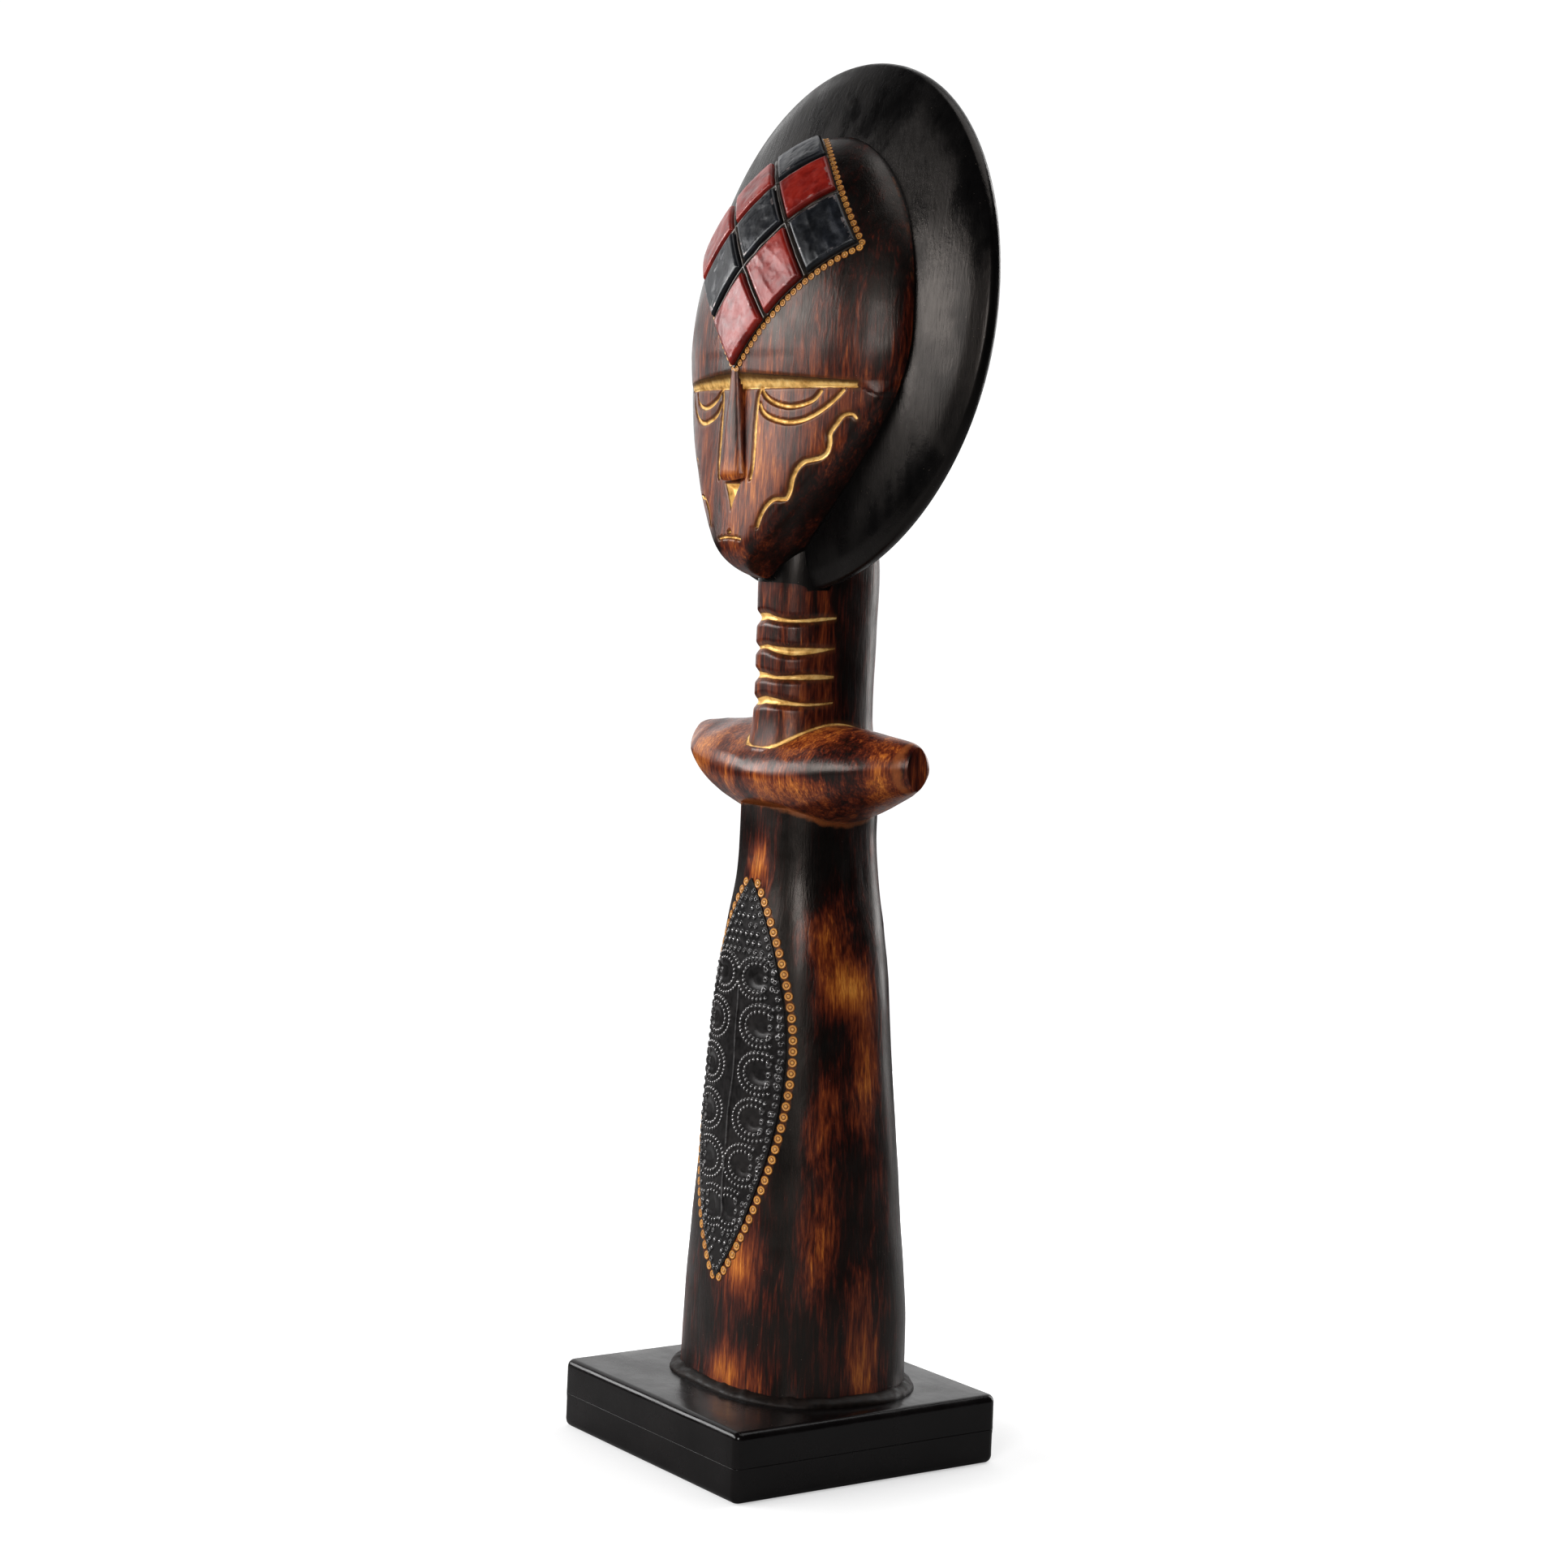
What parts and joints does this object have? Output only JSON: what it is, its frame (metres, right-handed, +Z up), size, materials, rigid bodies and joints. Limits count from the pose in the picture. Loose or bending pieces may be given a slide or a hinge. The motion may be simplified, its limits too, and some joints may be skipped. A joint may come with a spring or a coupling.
{
  "type": "carved fertility doll",
  "caption": "Standing carved wooden doll with an oval disc head, ringed neck, short shoulder bar, tiled brow and embossed front plate on a square plinth.",
  "frame": {"origin": "centre of the plinth's underside, on the surface the doll stands on", "axes": "+Z up along the doll, -Y the way the doll faces, +X to the right of someone facing the doll"},
  "size_m": [0.1556, 0.1, 0.4387],
  "materials": {
    "stained_wood": "hand-carved hardwood, dark brown stain with amber streaks, black on the head disc, gold wash in the grooves, satin wax",
    "black_lacquer": "black gloss lacquer over wood",
    "zinc_steel": "zinc-plated steel",
    "dark_sheet": "thin sheet, dark grey-brown paint, satin",
    "blackened_sheet": "embossed thin sheet painted black, rubbed bright on the raised dots",
    "red_foil": "wrinkled foil pad, glossy red paint with worn silvery edges",
    "black_foil": "wrinkled foil pad, glossy blue-black paint with worn silvery edges"
  },
  "bodies": {
    "root": {"figure_carving": "stained_wood", "plinth_upper_board": "black_lacquer", "plinth_lower_board": "black_lacquer", "foot_glue_bead": "black_lacquer", "plinth_screws": "zinc_steel", "brow_backing_sheet": "dark_sheet", "dress_plate": "blackened_sheet", "brow_tile_bottom_red": "red_foil", "brow_tile_low_left_black": "black_foil", "brow_tile_low_right_red": "red_foil", "brow_tile_left_red": "red_foil", "brow_tile_centre_black": "black_foil", "brow_tile_right_black": "black_foil", "brow_tile_high_left_red": "red_foil", "brow_tile_high_right_red": "red_foil", "brow_tile_top_black": "black_foil"}
  },
  "joints": []
}
